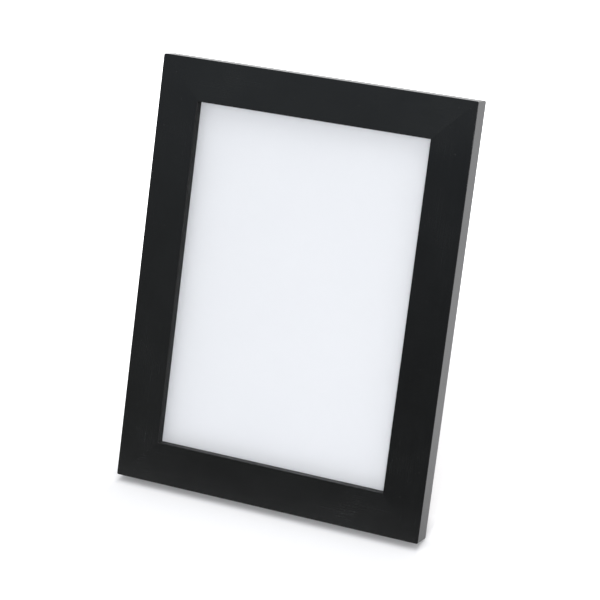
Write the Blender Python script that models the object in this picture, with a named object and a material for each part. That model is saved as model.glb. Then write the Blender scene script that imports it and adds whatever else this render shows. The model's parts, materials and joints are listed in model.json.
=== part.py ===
"""Free-standing wooden photo frame: four mitred rails round a glazed insert, closed at the back by a
fibreboard panel under turn buttons, with a hinged easel strut and a triangle hanger.

Lengths are metres and angles degrees. The frame is built upright in its own coordinates, X across, Y from
the face to the back and Z up from the bottom edge, and then leans back on its strut. The origin is the
middle of the footprint, on the surface that the frame stands on.
"""

import math

import bmesh
import bpy
from mathutils import Matrix, Vector

# Print and what lies behind it
PRINT_WIDTH = 0.127
PRINT_HEIGHT = 0.178
GLASS_THICKNESS = 0.002
GLASS_ARRIS = 0.0002
INSERT_THICKNESS = 0.00025
FILLER_THICKNESS = 0.00085
BOARD_THICKNESS = 0.0025
BOARD_SOFTENING = 0.0002

# Moulding
FACE_WIDTH = 0.0207
LIP_THICKNESS = 0.0047
LIP_COVER = 0.0032
REBATE_PLAY = 0.001
BOARD_PLAY = 0.0005
FACE_ROUND = 0.0002
LIP_ROUND = 0.00015
BACK_ROUND = 0.00025
CORNER_ROUND = 0.0008
ROUND_STEPS = 3

# Stance
LEAN = 18.0
OPENING_ANGLE = 30.0

# Clearances
SEAT_GAP = 0.0003
MITRE_GAP = 0.0003
OVERRUN = 0.002

# Corner nails: from the outer corner to the first one's point, and from the second one's legs to the rebate
NAIL_REACH = 0.0065
NAIL_MARGIN = 0.0014
NAIL_LEG = 0.0042
NAIL_SPREAD = 100.0
NAIL_SHEET = 0.0005
NAIL_DEPTH = 0.007

# Turn buttons and their screws
BUTTON_INSET = 0.0515
BUTTON_MARGIN = 0.0075
BUTTON_HEAD_RADIUS = 0.0045
BUTTON_TIP_RADIUS = 0.003
BUTTON_REACH = 0.018
BUTTON_SHEET = 0.001
BUTTON_LIFT = 22.0
BUTTON_BEND = 0.0125
SCREW_RADIUS = 0.0015
SCREW_LENGTH = 0.008
SCREW_POINT = 0.0025
SCREW_HEAD_RADIUS = 0.003
SCREW_HEAD_RISE = 0.0018
SCREW_RIM = 0.0005
RECESS_DEPTH = 0.001
RECESS_WIDTH = 0.0008
RECESS_LENGTH = 0.0032

# Easel strut
STRUT_THICKNESS = 0.003
STRUT_MARGIN = 0.002
STRUT_FOOT_WIDTH = 0.050
STRUT_CORNER = 0.004
STRUT_SOFTENING = 0.0003
FOLD_GAP = 0.0004

# Easel hinge
HINGE_GAP = 0.0065
HINGE_WIDTH = 0.024
HINGE_SHEET = 0.0008
PIN_HEAD_RIM = 0.0007
PIN_HEAD_THICKNESS = 0.0006
FIXED_KNUCKLE = 0.0094
FIXED_LEAF_LENGTH = 0.019
MOVING_LEAF_LENGTH = 0.023
LEAF_CORNER = 0.0025
TONGUE_WIDTH = 0.008
TONGUE_ROOT = 0.0095
TONGUE_KNEE = 0.006
TONGUE_SLIT = 0.0008

# Rivets, with their distances from the edges of the leaf or strap that they hold
RIVET_SIDE_MARGIN = 0.005
BOARD_RIVET_MARGIN = 0.0058
STRUT_RIVET_MARGIN = 0.0065
HANGER_RIVET_MARGIN = 0.0035
RIVET_RADIUS = 0.00125
RIVET_HEAD_RADIUS = 0.0025
RIVET_HEAD_RISE = 0.001
RIVET_FOOT_RADIUS = 0.0022
RIVET_FOOT_THICKNESS = 0.0005
RIVET_SINK = 0.0002

# Hanger
HANGER_INSET = 0.008
STRAP_SHEET = 0.0006
STRAP_WIDTH = 0.008
STRAP_LENGTH = 0.0225
STRAP_THROAT = 50.0
RING_WIRE_RADIUS = 0.0008
RING_WIDTH = 0.021
RING_HEIGHT = 0.018
RING_CORNER = 0.002

# Facets
ROUND_SEGMENTS = 24
SMALL_SEGMENTS = 16
ROLL_STEPS = 14
CORNER_STEPS = 4
DOME_STEPS = 3
MERGE_DISTANCE = 0.000001
SHARP_ANGLE = 35.0

# Sizes that follow
REBATE_WIDTH = LIP_COVER + REBATE_PLAY
FRAME_WIDTH = PRINT_WIDTH - 2 * LIP_COVER + 2 * FACE_WIDTH
FRAME_HEIGHT = PRINT_HEIGHT - 2 * LIP_COVER + 2 * FACE_WIDTH
REBATE_EDGE = FACE_WIDTH - REBATE_WIDTH
BOARD_WIDTH = PRINT_WIDTH + 2 * REBATE_PLAY - 2 * BOARD_PLAY
BOARD_HEIGHT = PRINT_HEIGHT + 2 * REBATE_PLAY - 2 * BOARD_PLAY
GLASS_FRONT = LIP_THICKNESS + SEAT_GAP
INSERT_FRONT = GLASS_FRONT + GLASS_THICKNESS + SEAT_GAP
FILLER_FRONT = INSERT_FRONT + INSERT_THICKNESS + SEAT_GAP
BOARD_FRONT = FILLER_FRONT + FILLER_THICKNESS + SEAT_GAP
FRAME_DEPTH = BOARD_FRONT + BOARD_THICKNESS
BUTTON_SETBACK = REBATE_EDGE - BUTTON_MARGIN
EYE_BORE = RING_WIRE_RADIUS + SEAT_GAP
EYE_RADIUS = EYE_BORE + STRAP_SHEET
HANGER_HEIGHT = (FRAME_HEIGHT + BOARD_HEIGHT) / 2 - HANGER_INSET
HANGER_DEPTH = FRAME_DEPTH + SEAT_GAP + EYE_RADIUS
HANGER_RIVET_DROP = STRAP_LENGTH - HANGER_RIVET_MARGIN

# The hinge's roll is as wide as lets the strut fold flat against the board
KNUCKLE_RADIUS = (STRUT_THICKNESS + FOLD_GAP + HINGE_SHEET) / 2
BORE_RADIUS = KNUCKLE_RADIUS - HINGE_SHEET
PIN_RADIUS = BORE_RADIUS - SEAT_GAP
HINGE_HEIGHT = HANGER_HEIGHT - STRAP_LENGTH - HINGE_GAP - FIXED_LEAF_LENGTH
HINGE_DEPTH = FRAME_DEPTH + SEAT_GAP + KNUCKLE_RADIUS
RIVET_SPACING = HINGE_WIDTH - 2 * RIVET_SIDE_MARGIN
BOARD_RIVET_RISE = FIXED_LEAF_LENGTH - BOARD_RIVET_MARGIN
STRUT_RIVET_DROP = MOVING_LEAF_LENGTH - STRUT_RIVET_MARGIN
STRUT_TOP_WIDTH = HINGE_WIDTH + 2 * STRUT_MARGIN
STRUT_BACK = BORE_RADIUS - SEAT_GAP
STRUT_FRONT = STRUT_BACK - STRUT_THICKNESS
STRUT_TOP = -KNUCKLE_RADIUS - 2 * SEAT_GAP


def clear_scene():
    for obj in list(bpy.data.objects):
        bpy.data.objects.remove(obj, do_unlink=True)


def arc(centre, radius, start, end, steps):
    """Points of an arc from start to end degrees, counted from the first axis towards the second."""
    points = []
    for index in range(steps + 1):
        angle = math.radians(start + (end - start) * index / steps)
        points.append((centre[0] + radius * math.cos(angle), centre[1] + radius * math.sin(angle)))
    return points


def rounded_outline(corners, radius, steps):
    """A polygon whose corners are replaced by tangent arcs."""
    points = []
    for index, corner in enumerate(corners):
        here = Vector(corner)
        before = (Vector(corners[index - 1]) - here).normalized()
        after = (Vector(corners[(index + 1) % len(corners)]) - here).normalized()
        half = before.angle(after) / 2
        centre = here + (before + after).normalized() * radius / math.sin(half)
        start = here + before * radius / math.tan(half) - centre
        end = here + after * radius / math.tan(half) - centre
        for step in range(steps + 1):
            points.append(tuple(centre + start.slerp(end, step / steps).normalized() * radius))
    return points


def strip_outline(path, thickness):
    """The outline of a strip of sheet whose middle follows the path."""
    points = [Vector(point) for point in path]
    left = []
    right = []
    for index, point in enumerate(points):
        before = (point - points[max(index - 1, 0)]).normalized()
        after = (points[min(index + 1, len(points) - 1)] - point).normalized()
        along = (before + after).normalized()
        reach = thickness / 2 / max(along.dot(after), along.dot(before))
        side = Vector((-along.y, along.x)) * reach
        left.append(tuple(point + side))
        right.append(tuple(point - side))
    return left + right[::-1]


def finished_mesh(name, shape, smooth=False):
    """A mesh with its faces pointing out, smooth over its rounds where asked."""
    bmesh.ops.remove_doubles(shape, verts=shape.verts, dist=MERGE_DISTANCE)
    bmesh.ops.recalc_face_normals(shape, faces=shape.faces)
    mesh = bpy.data.meshes.new(name)
    shape.to_mesh(mesh)
    shape.free()
    if smooth:
        mesh.shade_smooth()
        mesh.set_sharp_from_angle(angle=math.radians(SHARP_ANGLE))
    return mesh


def place(name, mesh, material, parent, location=(0, 0, 0), turn=(0, 0, 0)):
    obj = bpy.data.objects.new(name, mesh)
    bpy.context.collection.objects.link(obj)
    obj.parent = parent
    obj.location = location
    obj.rotation_euler = [math.radians(angle) for angle in turn]
    if material:
        mesh.materials.append(material)
    return obj


def helper(name, mesh, parent, location=(0, 0, 0)):
    """A shape that only cuts or joins others."""
    obj = place(name, mesh, None, parent, location)
    obj.hide_render = True
    obj.display_type = "WIRE"
    return obj


def axis_empty(name, parent, location, turn):
    empty = bpy.data.objects.new(name, None)
    bpy.context.collection.objects.link(empty)
    empty.parent = parent
    empty.location = location
    empty.rotation_euler = [math.radians(angle) for angle in turn]
    return empty


def add_boolean(obj, other, operation):
    modifier = obj.modifiers.new(other.name, "BOOLEAN")
    modifier.object = other
    modifier.operation = operation
    modifier.solver = "EXACT"


def add_bevel(obj, width, segments):
    modifier = obj.modifiers.new("softened_edges", "BEVEL")
    modifier.width = width
    modifier.segments = segments
    modifier.limit_method = "ANGLE"


def add_prism(shape, outline, axis, start, end):
    """Extrudes an outline along X or Y. Outline points are (Y, Z) along X, and (X, Z) along Y."""
    if axis == "X":
        corners = [Vector((start, first, second)) for first, second in outline]
        travel = Vector((end - start, 0, 0))
    else:
        corners = [Vector((first, start, second)) for first, second in outline]
        travel = Vector((0, end - start, 0))
    face = shape.faces.new([shape.verts.new(corner) for corner in corners])
    made = bmesh.ops.extrude_face_region(shape, geom=[face])
    moved = [item for item in made["geom"] if isinstance(item, bmesh.types.BMVert)]
    bmesh.ops.translate(shape, verts=moved, vec=travel)


def add_turning(shape, profile, axis, centre, segments):
    """Turns a profile of (radius, place along the axis) round an X or Y axis through the centre."""
    rings = []
    for radius, along in profile:
        ring = []
        for index in range(segments if radius > 0 else 1):
            angle = 2 * math.pi * index / segments
            first = radius * math.cos(angle)
            second = radius * math.sin(angle)
            offset = (along, first, second) if axis == "X" else (first, along, second)
            ring.append(shape.verts.new(Vector(centre) + Vector(offset)))
        rings.append(ring)
    for ring, other in zip(rings, rings[1:]):
        for index in range(segments):
            corners = [ring[index % len(ring)], ring[(index + 1) % len(ring)]]
            corners += [other[(index + 1) % len(other)], other[index % len(other)]]
            shape.faces.new(dict.fromkeys(corners))
    for ring in (rings[0], rings[-1]):
        if len(ring) > 1:
            shape.faces.new(ring)


def add_rod(shape, radius, axis, centre, start, end, segments=SMALL_SEGMENTS):
    add_turning(shape, [(radius, start), (radius, end)], axis, centre, segments)


def box_outline(width, height, middle=(0, 0)):
    right = middle[0] + width / 2
    top = middle[1] + height / 2
    left = middle[0] - width / 2
    bottom = middle[1] - height / 2
    return [(left, bottom), (right, bottom), (right, top), (left, top)]


def make_material(name, colour, roughness, metallic=0.0, transmission=0.0):
    material = bpy.data.materials.new(name)
    material.use_nodes = True
    shader = material.node_tree.nodes["Principled BSDF"]
    shader.inputs["Base Color"].default_value = (*colour, 1)
    shader.inputs["Roughness"].default_value = roughness
    shader.inputs["Metallic"].default_value = metallic
    shader.inputs["Transmission Weight"].default_value = transmission
    material.diffuse_color = (*colour, 1)
    material.metallic = metallic
    material.roughness = roughness
    return material


def black_paint():
    return make_material("satin_black_paint", (0.012, 0.012, 0.013), 0.38)


def clear_glass():
    return make_material("clear_glass", (0.93, 0.97, 0.96), 0.02, transmission=1.0)


def white_paper():
    return make_material("white_paper", (0.80, 0.81, 0.83), 0.85)


def grey_card():
    return make_material("grey_card", (0.38, 0.37, 0.35), 0.9)


def fibreboard():
    return make_material("fibreboard", (0.33, 0.20, 0.11), 0.75)


def zinc_plate():
    return make_material("zinc_plate", (0.60, 0.61, 0.62), 0.32, metallic=1.0)


def dark_nail_steel():
    return make_material("dark_nail_steel", (0.25, 0.25, 0.26), 0.45, metallic=1.0)


def moulding_profile():
    """Section of the moulding: (distance in from the outer edge, depth behind the face)."""
    points = arc((FACE_ROUND, FACE_ROUND), FACE_ROUND, 180, 270, ROUND_STEPS)
    points += arc((FACE_WIDTH - LIP_ROUND, LIP_ROUND), LIP_ROUND, -90, 0, ROUND_STEPS)
    points += [(FACE_WIDTH, LIP_THICKNESS), (REBATE_EDGE, LIP_THICKNESS), (REBATE_EDGE, FRAME_DEPTH)]
    points += arc((BACK_ROUND, FRAME_DEPTH - BACK_ROUND), BACK_ROUND, 90, 180, ROUND_STEPS)
    return points


def rail_path(inset, half_length):
    """Plan of one rail's run at an inset from its outer edge, from mitre to mitre round both corners."""
    radius = CORNER_ROUND - inset
    if radius <= 0:
        start = [(inset - half_length, inset)] * (ROUND_STEPS + 1)
    else:
        start = arc((CORNER_ROUND - half_length, CORNER_ROUND), radius, -135, -90, ROUND_STEPS)
    return start + [(-across, up) for across, up in reversed(start)]


def cut_mitre(shape, half_length, side):
    """Cuts one end of a rail at 45 degrees, half the glue gap short of the corner's diagonal."""
    outward = Vector((side, 0, 1)).normalized()
    corner = Vector((side * half_length, 0, 0))
    geometry = shape.verts[:] + shape.edges[:] + shape.faces[:]
    cut = bmesh.ops.bisect_plane(
        shape,
        geom=geometry,
        dist=MERGE_DISTANCE,
        plane_co=corner - outward * MITRE_GAP / 2,
        plane_no=outward,
        clear_outer=True,
    )
    edges = [item for item in cut["geom_cut"] if isinstance(item, bmesh.types.BMEdge)]
    bmesh.ops.edgeloop_fill(shape, edges=edges)


def rail_mesh(name, length):
    """A rebated rail along X, with its outer edge at Z 0 and its face at Y 0."""
    shape = bmesh.new()
    rows = []
    for inset, depth in moulding_profile():
        run = rail_path(inset, length / 2)
        rows.append([shape.verts.new((across, depth, up)) for across, up in run])
    for index, row in enumerate(rows):
        following = rows[(index + 1) % len(rows)]
        for step in range(len(row) - 1):
            shape.faces.new([row[step], row[step + 1], following[step + 1], following[step]])
    shape.faces.new([row[0] for row in rows])
    shape.faces.new([row[-1] for row in reversed(rows)])
    bmesh.ops.remove_doubles(shape, verts=shape.verts, dist=MERGE_DISTANCE)
    bmesh.ops.dissolve_degenerate(shape, edges=shape.edges, dist=MERGE_DISTANCE)
    for side in (-1, 1):
        cut_mitre(shape, length / 2, side)
    return finished_mesh(name, shape, smooth=True)


def nail_path(reach, side, rise):
    """Plan of a corner nail: two legs that cross the mitre, with the point towards the outer corner."""
    diagonal = Vector((-side, -rise)).normalized()
    across = Vector((side, -rise)).normalized()
    corner = Vector((side * FRAME_WIDTH / 2, FRAME_HEIGHT / 2 * (1 + rise)))
    point = corner + diagonal * reach
    half = math.radians(NAIL_SPREAD / 2)
    forward = diagonal * NAIL_LEG * math.cos(half)
    outward = across * NAIL_LEG * math.sin(half)
    return [tuple(point + forward - outward), tuple(point), tuple(point + forward + outward)]


def lengthened(path, extra):
    """The path with both ends drawn out."""
    first = Vector(path[0]) + (Vector(path[0]) - Vector(path[1])).normalized() * extra
    last = Vector(path[-1]) + (Vector(path[-1]) - Vector(path[-2])).normalized() * extra
    return [tuple(first), *path[1:-1], tuple(last)]


def inner_nail_reach():
    """Reach along the mitre of the second nail, whose legs end a margin short of the rebate."""
    half = math.radians(NAIL_SPREAD / 2)
    return math.sqrt(2) * (REBATE_EDGE - NAIL_MARGIN) - NAIL_LEG * (math.cos(half) + math.sin(half))


def corner_nails():
    """Name ending, side, rise and reach of each nail."""
    found = []
    for side, across in ((-1, "left"), (1, "right")):
        for rise, level in ((-1, "bottom"), (1, "top")):
            for reach, place_name in ((NAIL_REACH, "outer"), (inner_nail_reach(), "inner")):
                found.append((f"{level}_{across}_{place_name}", side, rise, reach))
    return found


def button_places():
    """Name ending, side, X and Z of each turn button's screw."""
    found = []
    for side, across in ((-1, "left"), (1, "right")):
        for rise, level in ((-1, "lower"), (1, "upper")):
            up = FRAME_HEIGHT / 2 + rise * (FRAME_HEIGHT / 2 - BUTTON_INSET)
            found.append((f"{level}_{across}", side, side * (FRAME_WIDTH / 2 - BUTTON_SETBACK), up))
    return found


def rail_cutter(parent):
    """Slots for the corner nails and pilot holes for the button screws."""
    shape = bmesh.new()
    for _, side, rise, reach in corner_nails():
        path = lengthened(nail_path(reach, side, rise), SEAT_GAP)
        outline = strip_outline(path, NAIL_SHEET + 2 * SEAT_GAP)
        add_prism(shape, outline, "Y", FRAME_DEPTH - NAIL_DEPTH - SEAT_GAP, FRAME_DEPTH + OVERRUN)
    hole_end = FRAME_DEPTH - SCREW_LENGTH
    for _, _, across, up in button_places():
        radius = SCREW_RADIUS + SEAT_GAP
        add_rod(shape, radius, "Y", (across, 0, up), hole_end, FRAME_DEPTH + OVERRUN)
    return helper("rail_cutter", finished_mesh("rail_cutter", shape), parent)


def build_rails(parent):
    paint = black_paint()
    cutter = rail_cutter(parent)
    middle = FRAME_HEIGHT / 2
    places = (
        ("bottom_rail", FRAME_WIDTH, (0, 0, 0), 0),
        ("top_rail", FRAME_WIDTH, (0, 0, FRAME_HEIGHT), 180),
        ("left_stile", FRAME_HEIGHT, (-FRAME_WIDTH / 2, 0, middle), 90),
        ("right_stile", FRAME_HEIGHT, (FRAME_WIDTH / 2, 0, middle), -90),
    )
    for name, length, location, turn in places:
        rail = place(name, rail_mesh(name, length), paint, parent, location, (0, turn, 0))
        add_boolean(rail, cutter, "DIFFERENCE")


def build_corner_nails(parent):
    steel = dark_nail_steel()
    for name, side, rise, reach in corner_nails():
        shape = bmesh.new()
        outline = strip_outline(nail_path(reach, side, rise), NAIL_SHEET)
        add_prism(shape, outline, "Y", FRAME_DEPTH - NAIL_DEPTH, FRAME_DEPTH)
        place(f"v_nail_{name}", finished_mesh(f"v_nail_{name}", shape), steel, parent)


def build_sheet(parent, name, width, height, front, thickness, material):
    """A flat sheet in the middle of the frame."""
    shape = bmesh.new()
    outline = box_outline(width, height, (0, FRAME_HEIGHT / 2))
    add_prism(shape, outline, "Y", front, front + thickness)
    return place(name, finished_mesh(name, shape), material, parent)


def build_sheets(parent):
    glass = build_sheet(
        parent, "glass_pane", PRINT_WIDTH, PRINT_HEIGHT, GLASS_FRONT, GLASS_THICKNESS, clear_glass()
    )
    add_bevel(glass, GLASS_ARRIS, 1)
    build_sheet(
        parent, "photo_insert", PRINT_WIDTH, PRINT_HEIGHT, INSERT_FRONT, INSERT_THICKNESS, white_paper()
    )
    build_sheet(
        parent, "filler_card", PRINT_WIDTH, PRINT_HEIGHT, FILLER_FRONT, FILLER_THICKNESS, grey_card()
    )


def add_rivet_hole(shape, across, up, foot_end, sheet_end):
    """Cutter for a rivet: its shank's hole, and a counterbore for the foot that closes on the front."""
    inward = 1 if sheet_end > foot_end else -1
    sink = RIVET_SINK + RIVET_FOOT_THICKNESS + SEAT_GAP
    start = foot_end - inward * OVERRUN
    wide = RIVET_FOOT_RADIUS + SEAT_GAP
    narrow = RIVET_RADIUS + SEAT_GAP
    profile = [(wide, start), (wide, foot_end + inward * sink), (narrow, foot_end + inward * sink)]
    profile.append((narrow, sheet_end + inward * OVERRUN))
    add_turning(shape, profile, "Y", (across, 0, up), SMALL_SEGMENTS)


def rivet_places():
    """X and Z of the three rivets through the back board."""
    up = HINGE_HEIGHT + BOARD_RIVET_RISE
    hanger = (0, HANGER_HEIGHT - HANGER_RIVET_DROP)
    return [(-RIVET_SPACING / 2, up), (RIVET_SPACING / 2, up), hanger]


def build_back_board(parent):
    board = build_sheet(
        parent, "back_board", BOARD_WIDTH, BOARD_HEIGHT, BOARD_FRONT, BOARD_THICKNESS, fibreboard()
    )
    add_bevel(board, BOARD_SOFTENING, 1)
    shape = bmesh.new()
    for across, up in rivet_places():
        add_rivet_hole(shape, across, up, BOARD_FRONT, FRAME_DEPTH)
    cutter = helper("board_cutter", finished_mesh("board_cutter", shape), parent)
    add_boolean(board, cutter, "DIFFERENCE")


def dome(radius, rise, base, steps):
    """Profile of a shallow dome from its rim to its crown."""
    points = []
    for index in range(steps + 1):
        angle = math.pi / 2 * index / steps
        points.append((radius * math.cos(angle), base + rise * math.sin(angle)))
    points[-1] = (0, base + rise)
    return points


def rivet_mesh(name, grip):
    """A rivet along Y. Its sunk foot lies in front of Y 0 and its domed head behind the sheets it grips."""
    foot = RIVET_SINK + RIVET_FOOT_THICKNESS
    head = grip + SEAT_GAP
    profile = [(0, RIVET_SINK), (RIVET_FOOT_RADIUS, RIVET_SINK), (RIVET_FOOT_RADIUS, foot)]
    profile += [(RIVET_RADIUS, foot), (RIVET_RADIUS, head)]
    profile += dome(RIVET_HEAD_RADIUS, RIVET_HEAD_RISE, head, DOME_STEPS)
    shape = bmesh.new()
    add_turning(shape, profile, "Y", (0, 0, 0), SMALL_SEGMENTS)
    return finished_mesh(name, shape, smooth=True)


def button_outline():
    """Plan of a turn button: a round head on the screw, drawn in to a smaller round tip."""
    gap = BUTTON_REACH - BUTTON_TIP_RADIUS
    slope = math.degrees(math.acos((BUTTON_HEAD_RADIUS - BUTTON_TIP_RADIUS) / gap))
    head = arc((0, 0), BUTTON_HEAD_RADIUS, slope, 360 - slope, 3 * CORNER_STEPS)
    tip = arc((gap, 0), BUTTON_TIP_RADIUS, -slope, slope, 2 * CORNER_STEPS)
    return head + tip


def bend_tip(shape):
    """Turns up the tip of a button, past its bend, as a finger lift."""
    geometry = shape.verts[:] + shape.edges[:] + shape.faces[:]
    bend = Vector((BUTTON_BEND, 0, 0))
    bmesh.ops.bisect_plane(
        shape, geom=geometry, dist=MERGE_DISTANCE, plane_co=bend, plane_no=(1, 0, 0)
    )
    past = [vert for vert in shape.verts if vert.co.x > BUTTON_BEND + MERGE_DISTANCE]
    turn = Matrix.Rotation(math.radians(BUTTON_LIFT), 3, "Z")
    bmesh.ops.rotate(shape, verts=past, cent=bend, matrix=turn)


def button_mesh():
    shape = bmesh.new()
    add_prism(shape, button_outline(), "Y", 0, BUTTON_SHEET)
    bend_tip(shape)
    return finished_mesh("turn_button", shape, smooth=True)


def button_cutter(parent, name, location):
    shape = bmesh.new()
    radius = SCREW_RADIUS + SEAT_GAP
    add_rod(shape, radius, "Y", (0, 0, 0), -OVERRUN, BUTTON_SHEET + OVERRUN, ROUND_SEGMENTS)
    return helper(name, finished_mesh(name, shape), parent, location)


def screw_mesh():
    """A pan head wood screw along Y, with the underside of its head at Y 0 and its point in front."""
    seat = BUTTON_SHEET + 2 * SEAT_GAP
    length = SCREW_LENGTH - SEAT_GAP
    profile = [(0, -seat - length), (SCREW_RADIUS, -seat - length + SCREW_POINT), (SCREW_RADIUS, 0)]
    profile += [(SCREW_HEAD_RADIUS, 0)]
    profile += dome(SCREW_HEAD_RADIUS, SCREW_HEAD_RISE - SCREW_RIM, SCREW_RIM, DOME_STEPS + 1)
    shape = bmesh.new()
    add_turning(shape, profile, "Y", (0, 0, 0), ROUND_SEGMENTS)
    return finished_mesh("turn_button_screw", shape, smooth=True)


def recess_cutter(parent, name, location):
    """The cross recess of a screw head."""
    arm = RECESS_LENGTH / 2
    edge = RECESS_WIDTH / 2
    quarter = [(edge, edge), (edge, arm), (-edge, arm)]
    outline = []
    for index in range(4):
        turn = Matrix.Rotation(math.pi / 2 * index, 2)
        outline += [tuple(turn @ Vector(point)) for point in quarter]
    shape = bmesh.new()
    add_prism(shape, outline, "Y", SCREW_HEAD_RISE - RECESS_DEPTH, SCREW_HEAD_RISE + OVERRUN)
    return helper(name, finished_mesh(name, shape), parent, location)


def build_turn_buttons(parent):
    """Each button turns on its own screw. At rest it points inwards over the edge of the back board."""
    steel = zinc_plate()
    button = button_mesh()
    screw = screw_mesh()
    for name, side, across, up in button_places():
        seat = (across, FRAME_DEPTH + SEAT_GAP, up)
        turn = (0, 90 + 90 * side, 0)
        turned = place(f"turn_button_{name}", button.copy(), steel, parent, seat, turn)
        add_boolean(turned, button_cutter(parent, f"button_hole_{name}", seat), "DIFFERENCE")
        head = (across, FRAME_DEPTH + BUTTON_SHEET + 2 * SEAT_GAP, up)
        driven = place(f"turn_button_screw_{name}", screw.copy(), steel, parent, head)
        add_boolean(driven, recess_cutter(parent, f"screw_recess_{name}", head), "DIFFERENCE")


def leaf_path(length):
    """Middle line of a hinge leaf in (Y, Z): up the flat leaf, then rolled round the pin to a seam."""
    middle = BORE_RADIUS + HINGE_SHEET / 2
    seam = 360 - math.degrees(math.acos((BORE_RADIUS - SEAT_GAP) / KNUCKLE_RADIUS))
    return [(middle, -length)] + arc((0, 0), middle, 0, seam, ROLL_STEPS)


def leaf_shape(length):
    """A full-width leaf that hangs below its rolled knuckle, on the back of the strut."""
    shape = bmesh.new()
    outline = strip_outline(leaf_path(length), HINGE_SHEET)
    add_prism(shape, outline, "X", -HINGE_WIDTH / 2, HINGE_WIDTH / 2)
    corners = []
    for edge in shape.edges:
        ends = [vert.co for vert in edge.verts]
        low = all(end.z < MERGE_DISTANCE - length for end in ends)
        if low and abs(ends[0].x - ends[1].x) < MERGE_DISTANCE:
            corners.append(edge)
    bmesh.ops.bevel(
        shape,
        geom=corners,
        offset=LEAF_CORNER,
        segments=CORNER_STEPS,
        profile=0.5,
        affect="EDGES",
    )
    return shape


def half_turned(shape):
    """Turns a shape round the X axis by half a turn, from the strut's side to the board's."""
    bmesh.ops.rotate(shape, verts=shape.verts, cent=(0, 0, 0), matrix=Matrix.Rotation(math.pi, 3, "X"))
    return shape


def add_leaf_holes(shape, up):
    for across in (-RIVET_SPACING / 2, RIVET_SPACING / 2):
        reach = KNUCKLE_RADIUS + OVERRUN
        add_rod(shape, RIVET_RADIUS + SEAT_GAP, "Y", (across, 0, up), -reach, reach)


def fixed_leaf_cutter(parent, location):
    """Takes the leaf away beside its middle knuckle, where the other leaf's knuckles turn."""
    shape = bmesh.new()
    inner = FIXED_KNUCKLE / 2
    outer = HINGE_WIDTH / 2 + OVERRUN
    reach = KNUCKLE_RADIUS + SEAT_GAP
    depth = KNUCKLE_RADIUS + OVERRUN
    for side in (-1, 1):
        middle = (side * (inner + outer) / 2, (reach - depth) / 2)
        outline = box_outline(outer - inner, reach + depth, middle)
        add_prism(shape, outline, "Y", -depth, depth)
    add_leaf_holes(shape, BOARD_RIVET_RISE)
    return helper("fixed_leaf_cutter", finished_mesh("fixed_leaf_cutter", shape), parent, location)


def moving_leaf_cutter(parent):
    """Opens the middle of the leaf for the fixed knuckle and frees both sides of the stop tongue."""
    shape = bmesh.new()
    half = max(FIXED_KNUCKLE / 2 + SEAT_GAP, TONGUE_WIDTH / 2 + TONGUE_SLIT)
    depth = KNUCKLE_RADIUS + OVERRUN
    root = TONGUE_ROOT - HINGE_SHEET
    outline = box_outline(2 * half, root + depth, (0, (depth - root) / 2))
    add_prism(shape, outline, "Y", -depth, depth)
    add_leaf_holes(shape, -STRUT_RIVET_DROP)
    return helper("moving_leaf_cutter", finished_mesh("moving_leaf_cutter", shape), parent)


def tongue_tip(offset):
    """Height at which a line of the tongue, this far behind the pin, meets the fixed leaf when open."""
    opening = math.radians(OPENING_ANGLE)
    stop = BORE_RADIUS - SEAT_GAP
    return (offset * math.cos(opening) + stop) / math.sin(opening)


def tongue_outline():
    """Section of the stop tongue in (Y, Z), with its tip cut to lie flat on the fixed leaf."""
    root = (BORE_RADIUS + HINGE_SHEET / 2, -TONGUE_ROOT)
    inner = KNUCKLE_RADIUS + SEAT_GAP
    outer = inner + HINGE_SHEET
    strip = strip_outline([root, ((inner + outer) / 2, -TONGUE_KNEE), ((inner + outer) / 2, 0)], HINGE_SHEET)
    left = strip[:2] + [(inner, tongue_tip(inner))]
    right = [(outer, tongue_tip(outer))] + strip[4:]
    return left + right


def build_hinge_leaves(frame, strut_axis, location):
    steel = zinc_plate()
    fixed = finished_mesh("hinge_fixed_leaf", half_turned(leaf_shape(FIXED_LEAF_LENGTH)), True)
    fixed_leaf = place("hinge_fixed_leaf", fixed, steel, frame, location)
    add_boolean(fixed_leaf, fixed_leaf_cutter(frame, location), "DIFFERENCE")

    moving = finished_mesh("hinge_moving_leaf", leaf_shape(MOVING_LEAF_LENGTH), True)
    moving_leaf = place("hinge_moving_leaf", moving, steel, strut_axis)
    add_boolean(moving_leaf, moving_leaf_cutter(strut_axis), "DIFFERENCE")
    shape = bmesh.new()
    add_prism(shape, tongue_outline(), "X", -TONGUE_WIDTH / 2, TONGUE_WIDTH / 2)
    tongue = helper("stop_tongue", finished_mesh("stop_tongue", shape), strut_axis)
    add_boolean(moving_leaf, tongue, "UNION")


def build_hinge_pin(parent, location):
    half = HINGE_WIDTH / 2 + SEAT_GAP
    end = half + PIN_HEAD_THICKNESS
    head_radius = PIN_RADIUS + PIN_HEAD_RIM
    profile = [(head_radius, -end), (head_radius, -half), (PIN_RADIUS, -half)]
    profile += [(radius, -along) for radius, along in reversed(profile)]
    shape = bmesh.new()
    add_turning(shape, profile, "X", (0, 0, 0), SMALL_SEGMENTS)
    place("hinge_pin", finished_mesh("hinge_pin", shape, True), zinc_plate(), parent, location)


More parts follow.
